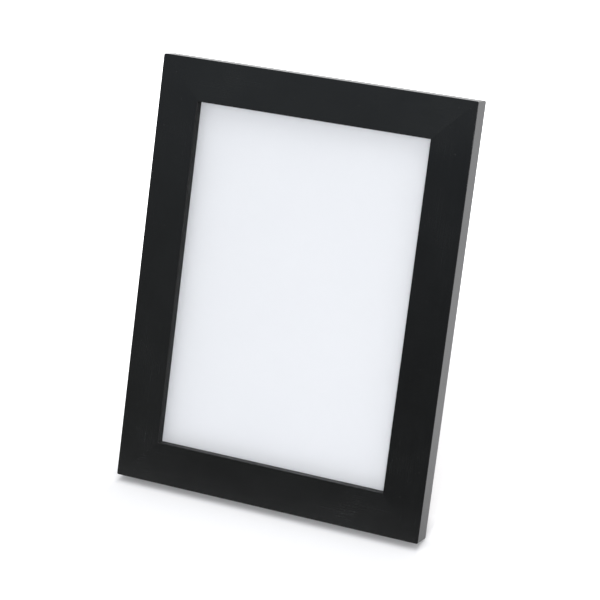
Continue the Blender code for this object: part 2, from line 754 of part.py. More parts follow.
def build_hinge_rivets(frame, strut_axis):
    steel = zinc_plate()
    board_grip = BOARD_THICKNESS + SEAT_GAP + HINGE_SHEET
    strut_grip = STRUT_THICKNESS + SEAT_GAP + HINGE_SHEET
    for side, name in ((-1, "left"), (1, "right")):
        across = side * RIVET_SPACING / 2
        board_seat = (across, BOARD_FRONT, HINGE_HEIGHT + BOARD_RIVET_RISE)
        strut_seat = (across, STRUT_FRONT, -STRUT_RIVET_DROP)
        board_rivet = rivet_mesh(f"board_rivet_{name}", board_grip)
        strut_rivet = rivet_mesh(f"strut_rivet_{name}", strut_grip)
        place(f"board_rivet_{name}", board_rivet, steel, frame, board_seat)
        place(f"strut_rivet_{name}", strut_rivet, steel, strut_axis, strut_seat)


def frame_floor():
    """Height of the leaning frame's lowest point over its own origin, on the back of the bottom rail."""
    lean = math.radians(LEAN)
    return min(up * math.cos(lean) - depth * math.sin(lean) for up, depth in moulding_profile())


def hinge_rise():
    """Height of the hinge pin over the surface that the frame stands on."""
    lean = math.radians(LEAN)
    return HINGE_HEIGHT * math.cos(lean) - HINGE_DEPTH * math.sin(lean) - frame_floor()


def strut_outline(length):
    top = STRUT_TOP_WIDTH / 2
    foot = STRUT_FOOT_WIDTH / 2
    square = [(-foot, -length), (foot, -length), (top, STRUT_TOP), (-top, STRUT_TOP)]
    rounded = rounded_outline(square, STRUT_CORNER, CORNER_STEPS)
    return square[:2] + rounded[2 * (CORNER_STEPS + 1):]


def build_strut(strut_axis):
    """A tapered leg whose foot is cut level with the table when it stands open."""
    slope = math.radians(OPENING_ANGLE - LEAN)
    length = hinge_rise() / math.cos(slope)
    shape = bmesh.new()
    add_prism(shape, strut_outline(length + STRUT_THICKNESS), "Y", STRUT_FRONT, STRUT_BACK)
    down = Vector((0, -math.sin(slope), -math.cos(slope)))
    cut = bmesh.ops.bisect_plane(
        shape,
        geom=shape.verts[:] + shape.edges[:] + shape.faces[:],
        dist=MERGE_DISTANCE,
        plane_co=down * hinge_rise(),
        plane_no=down,
        clear_outer=True,
    )
    edges = [item for item in cut["geom_cut"] if isinstance(item, bmesh.types.BMEdge)]
    bmesh.ops.edgeloop_fill(shape, edges=edges)
    strut = place("easel_strut", finished_mesh("easel_strut", shape), fibreboard(), strut_axis)
    add_bevel(strut, STRUT_SOFTENING, 1)
    holes = bmesh.new()
    for across in (-RIVET_SPACING / 2, RIVET_SPACING / 2):
        add_rivet_hole(holes, across, -STRUT_RIVET_DROP, STRUT_FRONT, STRUT_BACK)
    cutter = helper("strut_cutter", finished_mesh("strut_cutter", holes), strut_axis)
    add_boolean(strut, cutter, "DIFFERENCE")


def strap_path():
    """Middle line of the hanger strap in (Y, Z): up the front, round the ring's bar and back down."""
    middle = EYE_BORE + STRAP_SHEET / 2
    roll = arc((0, 0), middle, 180, -STRAP_THROAT, ROLL_STEPS)
    layer = STRAP_SHEET + SEAT_GAP - middle
    throat = math.radians(STRAP_THROAT)
    leave = (roll[-1][0] - layer) / math.sin(throat)
    turn_in = (layer, roll[-1][1] - leave * math.cos(throat))
    return [(-middle, -STRAP_LENGTH)] + roll + [turn_in, (layer, -STRAP_LENGTH)]


def build_hanger_strap(parent, location):
    shape = bmesh.new()
    add_prism(shape, strip_outline(strap_path(), STRAP_SHEET), "X", -STRAP_WIDTH / 2, STRAP_WIDTH / 2)
    strap = place("hanger_strap", finished_mesh("hanger_strap", shape, True), zinc_plate(), parent, location)
    shape = bmesh.new()
    reach = EYE_RADIUS + OVERRUN
    add_rod(shape, RIVET_RADIUS + SEAT_GAP, "Y", (0, 0, -HANGER_RIVET_DROP), -reach, reach)
    cutter = helper("strap_cutter", finished_mesh("strap_cutter", shape), parent, location)
    add_boolean(strap, cutter, "DIFFERENCE")


def build_hanger_rivet(parent):
    grip = BOARD_THICKNESS + 2 * SEAT_GAP + 2 * STRAP_SHEET
    seat = (0, BOARD_FRONT, HANGER_HEIGHT - HANGER_RIVET_DROP)
    place("hanger_rivet", rivet_mesh("hanger_rivet", grip), zinc_plate(), parent, seat)


def build_hanger_ring(parent, location):
    """A bent wire triangle. Its bar turns in the eye of the strap, and at rest it hangs plumb.

    Its width and height are those of the sharp triangle, before the corners are rounded.
    """
    half = RING_WIDTH / 2 - RING_WIRE_RADIUS
    drop = RING_HEIGHT - 2 * RING_WIRE_RADIUS
    points = rounded_outline([(-half, 0), (half, 0), (0, -drop)], RING_CORNER, CORNER_STEPS)
    curve = bpy.data.curves.new("hanger_ring", "CURVE")
    curve.dimensions = "3D"
    curve.bevel_depth = RING_WIRE_RADIUS
    curve.bevel_resolution = 2
    spline = curve.splines.new("POLY")
    spline.points.add(len(points) - 1)
    for target, (across, up) in zip(spline.points, points):
        target.co = (across, 0, up, 1)
    spline.use_cyclic_u = True
    place("hanger_ring", curve, zinc_plate(), parent, location, (LEAN, 0, 0))


def centre_footprint(frame):
    """Moves the frame so that the origin is under the middle of everything's extent in Y."""
    bpy.context.view_layer.update()
    graph = bpy.context.evaluated_depsgraph_get()
    places = []
    for obj in bpy.context.collection.objects:
        if obj.type == "EMPTY" or obj.hide_render:
            continue
        evaluated = obj.evaluated_get(graph)
        mesh = evaluated.to_mesh()
        places += [(evaluated.matrix_world @ vert.co).y for vert in mesh.vertices]
        evaluated.to_mesh_clear()
    frame.location.y -= (min(places) + max(places)) / 2


def main():
    clear_scene()
    frame = axis_empty("leaning_frame", None, (0, 0, -frame_floor()), (-LEAN, 0, 0))
    hinge = (0, HINGE_DEPTH, HINGE_HEIGHT)
    strut_axis = axis_empty("strut_axis", frame, hinge, (OPENING_ANGLE, 0, 0))
    hanger = (0, HANGER_DEPTH, HANGER_HEIGHT)
    build_rails(frame)
    build_corner_nails(frame)
    build_sheets(frame)
    build_back_board(frame)
    build_turn_buttons(frame)
    build_hinge_leaves(frame, strut_axis, hinge)
    build_hinge_pin(frame, hinge)
    build_hinge_rivets(frame, strut_axis)
    build_strut(strut_axis)
    build_hanger_strap(frame, hanger)
    build_hanger_rivet(frame)
    build_hanger_ring(frame, hanger)
    centre_footprint(frame)


main()
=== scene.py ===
import json
import math

import bmesh
import bpy
from mathutils import Matrix, Vector


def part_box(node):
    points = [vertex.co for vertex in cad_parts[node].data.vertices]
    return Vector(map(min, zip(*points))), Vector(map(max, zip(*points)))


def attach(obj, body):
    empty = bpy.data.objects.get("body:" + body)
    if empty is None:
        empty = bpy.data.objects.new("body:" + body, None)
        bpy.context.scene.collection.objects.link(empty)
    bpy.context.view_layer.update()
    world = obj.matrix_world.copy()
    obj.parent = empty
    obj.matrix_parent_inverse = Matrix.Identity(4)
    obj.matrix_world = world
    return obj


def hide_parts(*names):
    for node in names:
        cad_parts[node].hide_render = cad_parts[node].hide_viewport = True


# Looks of a black wooden photo frame on its strut. Lengths are metres and angles degrees, unless a name
# says otherwise. The rails are rebuilt with finer rounds and closed mitres, the steel with softened edges
# and the hanger's ring as a smooth wire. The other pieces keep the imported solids. "Panel" means the
# leaning frame's own directions: X across, Y from the face to the back and Z up.

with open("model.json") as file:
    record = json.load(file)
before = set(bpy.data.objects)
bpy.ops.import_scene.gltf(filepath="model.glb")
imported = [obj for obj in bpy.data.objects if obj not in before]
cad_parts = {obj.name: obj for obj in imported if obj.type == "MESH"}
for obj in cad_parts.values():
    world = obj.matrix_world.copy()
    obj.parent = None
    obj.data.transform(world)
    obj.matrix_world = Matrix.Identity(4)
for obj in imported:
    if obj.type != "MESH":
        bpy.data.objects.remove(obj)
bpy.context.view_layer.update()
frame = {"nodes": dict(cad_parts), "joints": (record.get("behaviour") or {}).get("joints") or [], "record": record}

# Camera, without roll, fitted to the photograph's edges
CAMERA_TARGET = (0.00324, -0.00481, 0.10103)
CAMERA_AZIMUTH = 23.487
CAMERA_ELEVATION = 26.683
CAMERA_DISTANCE = 1.039
SENSOR_WIDTH_MM = 36.0
FOCAL_LENGTH_MM = 128.61

# Moulding
FACE_WIDTH = 0.0207
LIP_THICKNESS = 0.0047
REBATE_WIDTH = 0.0042
FACE_ROUND = 0.0002
LIP_ROUND = 0.00015
BACK_ROUND = 0.00025
CORNER_ROUND = 0.0008
ROUND_STEPS = 8
CORNER_STEPS = 10
MITRE_GAP = 0.00002
SLOT_GAP = 0.00006

# Painted light and shade on the rails: each rail's paint colour is scaled to a level at its own left end,
# along its middle and at its own right end, seen with its outer edge down. The face reads lighter along
# the top rail and towards the top right corner, and darker along the right stile and towards the bottom
# right corner. Rails that meet share the level at their corner, and it changes over the length
# PAINTED_LIGHT_FADE from there.
PAINTED_LIGHT_LEVELS = {
    "bottom_rail": (0.90, 0.84, 0.62),
    "right_stile": (0.62, 0.58, 1.30),
    "top_rail": (1.30, 1.33, 1.14),
    "left_stile": (1.14, 1.03, 0.90),
}
PAINTED_LIGHT_FADE = 0.03

# Roughness that the lip's inner wall has over the face's
LIP_ROUGHNESS = {
    "bottom_rail": 0.4,
    "right_stile": 0.5,
    "top_rail": 0.5,
    "left_stile": 0.75,
}

# Softened edges of the metal
SHEET_EDGE = 0.00014
TURNED_EDGE = 0.0001
EDGE_SEGMENTS = 3
WELD_DISTANCE = 0.000002
FLAT_ANGLE = 0.4
SMOOTH_ANGLE = 32.0

# Refractive indices
LACQUER_IOR = 1.5
GLASS_IOR = 1.5

# Hanger ring
WIRE_RESOLUTION = 5
RING_CORNER = 0.002
RING_CORNER_STEPS = 16
SLOPE_STEPS = 20

# Lamps: places, sizes and watts
LAMP_TARGET = (0, 0, 0.1)
FRONT_LAMP_PLACE = (0.52, -1.44, 0.76)
FRONT_LAMP_SIZE = 0.5
FRONT_LAMP_POWER = 13.0
TOP_LAMP_PLACE = (0.05, 0.0, 1.7)
TOP_LAMP_SIZE = 1.5
TOP_LAMP_POWER = 6.5

# Floor
FLOOR_HALF = 3.0
FLOOR_FRONT = -0.17
FLOOR_TONE = (0.875, 0.88, 0.90, 1)
FLOOR_ROUGHNESS = 0.9

# Light that the floor adds for the camera. Each row has two places in metres and the strength at each.
# The first runs away from the middle and whitens the open floor. The next two run towards the back and the
# last out to a side: they are painted light that lightens the object's shadow in front of, behind and
# beside the frame.
OPEN_FLOOR_SEEN = (0.11, 0.40, 0.0, 1.0)
BEHIND_SEEN = (-0.035, -0.012, 0.0, 0.35)
IN_FRONT_SEEN = (-0.0465, -0.0430, 0.16, 0.0)
BESIDE_SEEN = (0.080, 0.083, 0.0, 0.26)

# Light that the floor adds in reflections, in rows that run towards the back
NEAR_MIRRORED = (-0.1, 0.05, 0.0, 0.3)
FAR_MIRRORED = (0.3, 1.5, 0.0, 0.26)

# White studio round the floor. AMBIENT is its strength on matt surfaces. The rows are for reflections.
# The WALLS rows run with how far a direction points to DIM_WAY, where the studio is dim, and the HEIGHT
# rows with how far it points up. The two COOL rows multiply to the share of COOL_TONE.
AMBIENT = 0.66
DIM_WAY = {"X": -0.09, "Y": -0.99, "Z": 0.0}
WALLS_MIRRORED = (-0.2, 0.97, 1.3, 0.07)
HEIGHT_MIRRORED = (0.06, 0.32, 0.0, 0.25)
COOL_WALLS = (0.3, 0.9, 0, 1)
COOL_HEIGHT = (0.06, 0.3, 0, 1)
COOL_TONE = (0.80, 0.98, 1.22, 1)


def packed_body(node):
    """Name of the body that carries a node."""
    bodies = frame["record"]["behaviour"]["bodies"]
    return next(body for body, members in bodies.items() if node in members)


def panel_turn():
    """Turn from the panel's directions to the world's. A turn button's axis runs through the panel."""
    joint = next(item for item in frame["joints"] if item["name"] == "button_turn_lower_left")
    axis = Vector(joint["axis"])
    return Matrix.Rotation(math.atan2(axis.z, axis.y), 4, "X")


def panel_box(node, turn):
    """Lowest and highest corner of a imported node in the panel's directions."""
    back = turn.inverted()
    places = [back @ vert.co for vert in frame["nodes"][node].data.vertices]
    low = Vector(min(place[axis] for place in places) for axis in range(3))
    high = Vector(max(place[axis] for place in places) for axis in range(3))
    return low, high


def new_piece(name, mesh, material, body, slot, *nodes):
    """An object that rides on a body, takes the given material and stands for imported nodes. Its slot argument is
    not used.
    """
    piece = bpy.data.objects.new(name, mesh)
    bpy.context.scene.collection.objects.link(piece)
    piece.data.materials.clear()
    piece.data.materials.append(material)
    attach(piece, body)
    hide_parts(*nodes)
    return piece


# Shader building

# Sockets of a colour mix, whose names other kinds of mix have too
MIX_SHARE = 0
MIX_FIRST = 6
MIX_SECOND = 7
MIX_RESULT = 2


class Nodes:
    """Adds shader nodes to one tree. An input takes a value, or the socket that feeds it."""

    def __init__(self, tree):
        self.tree = tree

    def add(self, kind, inputs=None, **settings):
        node = self.tree.nodes.new(kind)
        for name, value in settings.items():
            setattr(node, name, value)
        self.feed(node, inputs or {})
        return node

    def feed(self, node, inputs):
        for name, value in inputs.items():
            if isinstance(value, bpy.types.NodeSocket):
                self.tree.links.new(value, node.inputs[name])
            else:
                node.inputs[name].default_value = value

    def places(self, scale=(1, 1, 1), turn=(0, 0, 0)):
        """The piece's own coordinates, in metres where they aren't scaled."""
        source = self.add("ShaderNodeTexCoord").outputs["Object"]
        rotation = [math.radians(angle) for angle in turn]
        inputs = {"Vector": source, "Rotation": rotation, "Scale": scale}
        return self.add("ShaderNodeMapping", inputs).outputs["Vector"]

    def noise(self, places, scale, detail, roughness, distortion=0.0):
        """Noise with so many cells to a unit of the places, or to a metre where they aren't scaled."""
        inputs = {"Vector": places, "Scale": scale, "Detail": detail}
        inputs.update({"Roughness": roughness, "Distortion": distortion})
        return self.add("ShaderNodeTexNoise", inputs).outputs["Fac"]

    def cells(self, places, scale, output="Distance"):
        return self.add("ShaderNodeTexVoronoi", {"Vector": places, "Scale": scale}).outputs[output]

    def spread(self, value, low, high, start, end):
        """Maps a value from low..high to start..end."""
        inputs = {"Value": value, "From Min": low, "From Max": high, "To Min": start, "To Max": end}
        return self.add("ShaderNodeMapRange", inputs).outputs["Result"]

    def calc(self, operation, first, second=0.0):
        return self.add("ShaderNodeMath", {0: first, 1: second}, operation=operation).outputs[0]

    def blend(self, share, first, second):
        """Mixes two colours."""
        inputs = {MIX_SHARE: share, MIX_FIRST: first, MIX_SECOND: second}
        return self.add("ShaderNodeMix", inputs, data_type="RGBA").outputs[MIX_RESULT]

    def bump(self, height, distance, strength, normal=None):
        inputs = {"Height": height, "Distance": distance, "Strength": strength}
        if normal:
            inputs["Normal"] = normal
        return self.add("ShaderNodeBump", inputs).outputs["Normal"]


def new_material(name):
    """A node material, with its tree's helper and its Principled shader."""
    material = bpy.data.materials.new(name)
    material.use_nodes = True
    return material, Nodes(material.node_tree), material.node_tree.nodes["Principled BSDF"]


def grey(level):
    return (level, level, level, 1)


# Materials


def painted_light_level(nodes, along, length, levels):
    """Painted light and shade along a rail: runs from its left level to its middle one, and on to its right one.
    """
    left, middle, right = levels
    end = length / 2
    near_left = nodes.spread(along, -end, PAINTED_LIGHT_FADE - end, left, middle)
    near_right = nodes.spread(along, end - PAINTED_LIGHT_FADE, end, 0.0, right - middle)
    return nodes.calc("ADD", near_left, near_right)


def satin_black_paint(rail, length):
    """Sprayed satin black over fine-grained wood, its colour scaled along the rail with painted light and shade. A
    rail's grain runs along its own X.
    """
    material, nodes, shader = new_material(f"satin_black_{rail}")
    place = nodes.add("ShaderNodeSeparateXYZ", {"Vector": nodes.places()})
    long_grain = nodes.noise(nodes.places((45, 1700, 1700)), 1.0, detail=4.0, roughness=0.55)
    rings = nodes.noise(nodes.places((7, 380, 380)), 1.0, detail=3.0, roughness=0.5, distortion=0.4)
    pores = nodes.noise(nodes.places((150, 2600, 2600)), 1.0, detail=2.0, roughness=0.5)
    peel = nodes.noise(nodes.places(), 850, detail=2.0, roughness=0.5)
    cloud = nodes.noise(nodes.places(), 38, detail=3.0, roughness=0.5)
    pit = nodes.spread(pores, 0.30, 0.40, 1, 0)
    nib_cells = 240
    nib_size = nodes.spread(nodes.cells(nodes.places(), nib_cells), 0.03, 0.07, 1, 0)
    nib_pick = nodes.spread(nodes.cells(nodes.places(), nib_cells, "Color"), 0.80, 0.84, 0, 1)
    nib = nodes.calc("MULTIPLY", nib_size, nib_pick)

    # Painted light and shade: this level scales the paint colour, lighter or darker along the rail
    level = painted_light_level(nodes, place.outputs["X"], length, PAINTED_LIGHT_LEVELS[rail])
    dark = (0.0058, 0.0062, 0.0060, 1)
    light = (0.0076, 0.0081, 0.0079, 1)
    tone = nodes.blend(cloud, dark, light)
    scaled = nodes.add("ShaderNodeVectorMath", {0: tone, "Scale": level}, operation="SCALE")
    tone = scaled.outputs["Vector"]
    tone = nodes.blend(nodes.calc("MULTIPLY", pit, 0.25), tone, grey(0.004))
    tone = nodes.blend(nodes.calc("MULTIPLY", nib, 0.5), tone, grey(0.05))

    sheen = nodes.spread(cloud, 0.3, 0.7, 0.22, 0.27)
    sheen = nodes.calc("ADD", sheen, nodes.spread(long_grain, 0.3, 0.7, -0.02, 0.02))
    # The wall's finish begins on the lip's round
    wall_start = FACE_WIDTH - LIP_ROUND
    wall_end = FACE_WIDTH - LIP_ROUND / 3
    lip = nodes.spread(place.outputs["Z"], wall_start, wall_end, 0, LIP_ROUGHNESS[rail])
    sheen = nodes.calc("ADD", sheen, lip)

    normal = nodes.bump(rings, distance=0.00002, strength=0.05)
    normal = nodes.bump(long_grain, distance=0.00002, strength=0.15, normal=normal)
    normal = nodes.bump(peel, distance=0.00002, strength=0.30, normal=normal)
    normal = nodes.bump(pit, distance=0.00003, strength=0.10, normal=normal)
    normal = nodes.bump(nib, distance=0.00005, strength=0.5, normal=normal)
    nodes.feed(shader, {"Base Color": tone, "Roughness": sheen, "Normal": normal})
    shader.inputs["IOR"].default_value = LACQUER_IOR
    return material


def window_glass():
    """Clear glass that lets the lamps through to the print."""
    material, nodes, shader = new_material("window_glass")
    smear = nodes.noise(nodes.places(), 45, detail=4.0, roughness=0.6)
    nodes.feed(shader, {"Roughness": nodes.spread(smear, 0.35, 0.75, 0.0, 0.03)})
    shader.inputs["Base Color"].default_value = (0.990, 0.996, 0.994, 1)
    shader.inputs["Transmission Weight"].default_value = 1.0
    shader.inputs["IOR"].default_value = GLASS_IOR
    path = nodes.add("ShaderNodeLightPath")
    through = nodes.add("ShaderNodeBsdfTransparent", {"Color": (0.965, 0.97, 0.97, 1)})
    lamp_ray = nodes.calc("MAXIMUM", path.outputs["Is Shadow Ray"], path.outputs["Is Diffuse Ray"])
    inputs = {0: lamp_ray, 1: shader.outputs["BSDF"], 2: through.outputs["BSDF"]}
    mix = nodes.add("ShaderNodeMixShader", inputs)
    output = material.node_tree.nodes["Material Output"]
    material.node_tree.links.new(mix.outputs["Shader"], output.inputs["Surface"])
    return material


def print_paper():
    """Plain white print paper with a faint tooth."""
    material, nodes, shader = new_material("print_paper")
    cloud = nodes.noise(nodes.places(), 30, detail=3.0, roughness=0.5)
    tooth = nodes.noise(nodes.places(), 3200, detail=3.0, roughness=0.6)
    dull = (0.832, 0.839, 0.883, 1)
    bright = (0.857, 0.863, 0.905, 1)
    tone = nodes.blend(cloud, dull, bright)
    normal = nodes.bump(tooth, distance=0.00001, strength=0.12)
    nodes.feed(shader, {"Base Color": tone, "Normal": normal})
    nodes.feed(shader, {"Roughness": nodes.spread(tooth, 0.3, 0.7, 0.62, 0.74)})
    return material


def grey_card():
    """Recycled grey card with darker and lighter fibres."""
    material, nodes, shader = new_material("grey_card")
    fibres = nodes.noise(nodes.places(), 700, detail=6.0, roughness=0.7, distortion=1.6)
    flecks = nodes.noise(nodes.places(), 1500, detail=2.0, roughness=0.5)
    dark = (0.27, 0.26, 0.24, 1)
    light = (0.45, 0.44, 0.41, 1)
    fleck = (0.12, 0.11, 0.10, 1)
    tone = nodes.blend(nodes.spread(fibres, 0.3, 0.7, 0, 1), dark, light)
    tone = nodes.blend(nodes.spread(flecks, 0.66, 0.72, 0, 0.7), tone, fleck)
    normal = nodes.bump(fibres, distance=0.00005, strength=0.3)
    nodes.feed(shader, {"Base Color": tone, "Normal": normal})
    nodes.feed(shader, {"Roughness": nodes.spread(fibres, 0.3, 0.7, 0.82, 0.95)})
    return material


def pressed_fibreboard():
    """Brown hardboard: matted fibres, a few dark chips and a slightly glazed skin."""
    material, nodes, shader = new_material("pressed_fibreboard")
    mat = nodes.noise(nodes.places(), 620, detail=8.0, roughness=0.70, distortion=2.4)
    strands = nodes.noise(nodes.places(), 300, detail=6.0, roughness=0.65, distortion=4.5)
    cloud = nodes.noise(nodes.places(), 16, detail=4.0, roughness=0.55)
    chips = nodes.noise(nodes.places(), 760, detail=2.0, roughness=0.5, distortion=1.0)
    dark = (0.150, 0.078, 0.038, 1)
    light = (0.330, 0.190, 0.100, 1)
    straw = (0.43, 0.27, 0.155, 1)
    chip = (0.06, 0.03, 0.016, 1)
    glaze = (0.20, 0.105, 0.052, 1)
    tone = nodes.blend(nodes.spread(mat, 0.32, 0.68, 0, 1), dark, light)
    tone = nodes.blend(nodes.spread(strands, 0.52, 0.66, 0, 0.55), tone, straw)
    tone = nodes.blend(nodes.spread(chips, 0.66, 0.73, 0, 0.7), tone, chip)
    tone = nodes.blend(nodes.spread(cloud, 0.35, 0.70, 0, 0.30), tone, glaze)
    normal = nodes.bump(mat, distance=0.00008, strength=0.35)
    normal = nodes.bump(strands, distance=0.00006, strength=0.25, normal=normal)
    nodes.feed(shader, {"Base Color": tone, "Normal": normal})
    nodes.feed(shader, {"Roughness": nodes.spread(mat, 0.3, 0.7, 0.52, 0.72)})
    return material


def zinc_plate():
    """Bright zinc on stamped steel: faint crystals, rubbing marks and a dull film in patches."""
    material, nodes, shader = new_material("zinc_plate")
    crystals = nodes.cells(nodes.places(), 1400, "Color")
    film = nodes.noise(nodes.places(), 260, detail=5.0, roughness=0.6, distortion=0.6)
    rub_places = nodes.places((220, 5200, 5200), turn=(18, 0, 35))
    rub = nodes.noise(rub_places, 1.0, detail=3.0, roughness=0.6)
    bright = (0.58, 0.59, 0.61, 1)
    dull = (0.42, 0.43, 0.45, 1)
    spangle = (0.78, 0.79, 0.80, 1)
    tone = nodes.blend(nodes.spread(film, 0.35, 0.70, 0, 1), bright, dull)
    tone = nodes.blend(nodes.spread(crystals, 0, 1, 0, 0.18), tone, spangle)
    sheen = nodes.spread(film, 0.3, 0.7, 0.24, 0.42)
    sheen = nodes.calc("ADD", sheen, nodes.spread(rub, 0.3, 0.7, -0.04, 0.06))
    normal = nodes.bump(rub, distance=0.000012, strength=0.25)
    normal = nodes.bump(film, distance=0.00002, strength=0.15, normal=normal)
    nodes.feed(shader, {"Base Color": tone, "Roughness": sheen, "Normal": normal})
    shader.inputs["Metallic"].default_value = 1.0
    return material


def blued_steel():
    """Dull dark steel of the corner nails, with a trace of brown where the sheet was cut."""
    material, nodes, shader = new_material("blued_steel")
    film = nodes.noise(nodes.places(), 900, detail=5.0, roughness=0.65)
    blue = (0.20, 0.21, 0.23, 1)
    brown = (0.30, 0.27, 0.24, 1)
    tone = nodes.blend(nodes.spread(film, 0.35, 0.70, 0, 1), blue, brown)
    normal = nodes.bump(film, distance=0.00002, strength=0.3)
    nodes.feed(shader, {"Base Color": tone, "Normal": normal})
    nodes.feed(shader, {"Roughness": nodes.spread(film, 0.3, 0.7, 0.36, 0.58)})
    shader.inputs["Metallic"].default_value = 1.0
    return material


# Meshes


def arc(centre, radius, start, end, steps):
    """Points of an arc from start to end degrees."""
    points = []
    for index in range(steps + 1):
        angle = math.radians(start + (end - start) * index / steps)
        points.append((centre[0] + radius * math.cos(angle), centre[1] + radius * math.sin(angle)))
    return points


def finished_mesh(name, shape):
    """A mesh with its faces pointing out, smooth over its rounds."""
    bmesh.ops.recalc_face_normals(shape, faces=shape.faces)
    mesh = bpy.data.meshes.new(name)
    shape.to_mesh(mesh)
    shape.free()
    mesh.shade_smooth()
    mesh.set_sharp_from_angle(angle=math.radians(SMOOTH_ANGLE))
    return mesh


def welded(node):
    """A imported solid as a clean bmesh, with its flat faces whole again."""
    shape = bmesh.new()
    shape.from_mesh(frame["nodes"][node].data)
    bmesh.ops.remove_doubles(shape, verts=shape.verts, dist=WELD_DISTANCE)
    bmesh.ops.dissolve_limit(
        shape, angle_limit=math.radians(FLAT_ANGLE), verts=shape.verts, edges=shape.edges
    )
    return shape


def applied(piece):
    """Turns the piece's modifiers into its mesh."""
    graph = bpy.context.evaluated_depsgraph_get()
    mesh = bpy.data.meshes.new_from_object(piece.evaluated_get(graph))
    piece.modifiers.clear()
    piece.data = mesh


# Rails


def moulding_profile(depth):
    """Section of the moulding: (distance in from the outer edge, depth behind the face)."""
    edge = FACE_WIDTH - REBATE_WIDTH
    points = arc((FACE_ROUND, FACE_ROUND), FACE_ROUND, 180, 270, ROUND_STEPS)
    points += arc((FACE_WIDTH - LIP_ROUND, LIP_ROUND), LIP_ROUND, -90, 0, ROUND_STEPS)
    points += [(FACE_WIDTH, LIP_THICKNESS), (edge, LIP_THICKNESS), (edge, depth)]
    return points + arc((BACK_ROUND, depth - BACK_ROUND), BACK_ROUND, 90, 180, ROUND_STEPS)


def rail_run(inset, half_length):
    """Plan of a rail's run at an inset from its outer edge, round both outer corners."""
    radius = CORNER_ROUND - inset
    if radius <= 0:
        start = [(inset - half_length, inset)] * (CORNER_STEPS + 1)
    else:
        start = arc((CORNER_ROUND - half_length, CORNER_ROUND), radius, -135, -90, CORNER_STEPS)
    return start + [(-across, up) for across, up in reversed(start)]


def rail_mesh(name, length, depth):
    """A rebated rail along X, outer edge at Z 0 and face at Y 0, cut at both mitres."""
    shape = bmesh.new()
    rows = []
    for inset, behind in moulding_profile(depth):
        run = rail_run(inset, length / 2)
        rows.append([shape.verts.new((across, behind, up)) for across, up in run])
    for index, row in enumerate(rows):
        following = rows[(index + 1) % len(rows)]
        for step in range(len(row) - 1):
            shape.faces.new([row[step], row[step + 1], following[step + 1], following[step]])
    shape.faces.new([row[0] for row in rows])
    shape.faces.new([row[-1] for row in reversed(rows)])
    bmesh.ops.remove_doubles(shape, verts=shape.verts, dist=WELD_DISTANCE)
    bmesh.ops.dissolve_degenerate(shape, edges=shape.edges, dist=WELD_DISTANCE)
    for side in (-1, 1):
        outward = Vector((side, 0, 1)).normalized()
        cut = bmesh.ops.bisect_plane(
            shape,
            geom=shape.verts[:] + shape.edges[:] + shape.faces[:],
            dist=WELD_DISTANCE,
            plane_co=Vector((side * length / 2, 0, 0)) - outward * MITRE_GAP / 2,
            plane_no=outward,
            clear_outer=True,
        )
        edges = [item for item in cut["geom_cut"] if isinstance(item, bmesh.types.BMEdge)]
        bmesh.ops.edgeloop_fill(shape, edges=edges)
    return finished_mesh(name, shape)


def slot_cutter(nails):
    """The corner nails as one cutter, grown by the slot's gap."""
    shape = bmesh.new()
    for node in nails:
        nail = welded(node)
        nail.normal_update()
        moves = {}
        for vert in nail.verts:
            moves[vert] = vert.normal * vert.calc_shell_factor() * SLOT_GAP
        for vert, move in moves.items():
            vert.co += move
        mesh = bpy.data.meshes.new("grown_nail")
        nail.to_mesh(mesh)
        nail.free()
        shape.from_mesh(mesh)
        bpy.data.meshes.remove(mesh)
    cutter = bpy.data.objects.new("slot_cutter", finished_mesh("slot_cutter", shape))
    bpy.context.scene.collection.objects.link(cutter)
    return cutter


def build_rails(turn):
    """The four painted rails, each turned to its side of the frame, with slots for the corner nails."""
    low, high = panel_box("bottom_rail", turn)
    top = panel_box("top_rail", turn)[1].z
    width = panel_box("right_stile", turn)[1].x - panel_box("left_stile", turn)[0].x
    height = top - low.z
    depth = high.y - low.y
    corner = turn @ Matrix.Translation((0, low.y, low.z))
    places = (
        ("bottom_rail", width, (0, 0, 0), 0),
        ("top_rail", width, (0, 0, height), 180),
        ("left_stile", height, (-width / 2, 0, height / 2), 90),
        ("right_stile", height, (width / 2, 0, height / 2), -90),
    )
    nails = [node for node in frame["nodes"] if node.startswith("v_nail")]
    cutter = slot_cutter(nails)
    for node, length, place, angle in places:
        name = f"{node}_painted"
        rail = bpy.data.objects.new(name, rail_mesh(name, length, depth))
        bpy.context.scene.collection.objects.link(rail)
        turned = Matrix.Rotation(math.radians(angle), 4, "Y")
        rail.matrix_world = corner @ Matrix.Translation(place) @ turned
        slots = rail.modifiers.new("nail_slots", "BOOLEAN")
        slots.object = cutter
        slots.solver = "EXACT"
        bpy.context.view_layer.update()
        applied(rail)
        rail.data.set_sharp_from_angle(angle=math.radians(SMOOTH_ANGLE))
        flat = rail.modifiers.new("flat_faces", "WEIGHTED_NORMAL")
        flat.keep_sharp = True
        bpy.context.view_layer.update()
        applied(rail)
        rail.data.materials.clear()
        rail.data.materials.append(satin_black_paint(node, length))
        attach(rail, packed_body(node))
        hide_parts(node)
    bpy.data.objects.remove(cutter)


# Metal


def soften(node, metal, width):
    """A copy of a packed metal piece with rounded edges."""
    name = f"{node}_plated"
    mesh = finished_mesh(name, welded(node))
    piece = new_piece(name, mesh, metal, packed_body(node), "zinc_steel", node)
    bevel = piece.modifiers.new("rounded_edges", "BEVEL")
    bevel.width = width
    bevel.segments = EDGE_SEGMENTS
    bevel.limit_method = "ANGLE"
    bevel.angle_limit = math.radians(SMOOTH_ANGLE)
    bevel.harden_normals = True


def build_metal(metal):
    """The steel pieces, with wider rounded edges on stamped sheet than on turned and headed ones."""
    sheet = ("hinge_fixed", "hinge_moving", "hanger_strap", "turn_button")
    for node in sorted(frame["nodes"]):
        if "screw" in node or "rivet" in node or node == "hinge_pin":
            soften(node, metal, TURNED_EDGE)
        elif node.startswith(sheet):
            soften(node, metal, SHEET_EDGE)


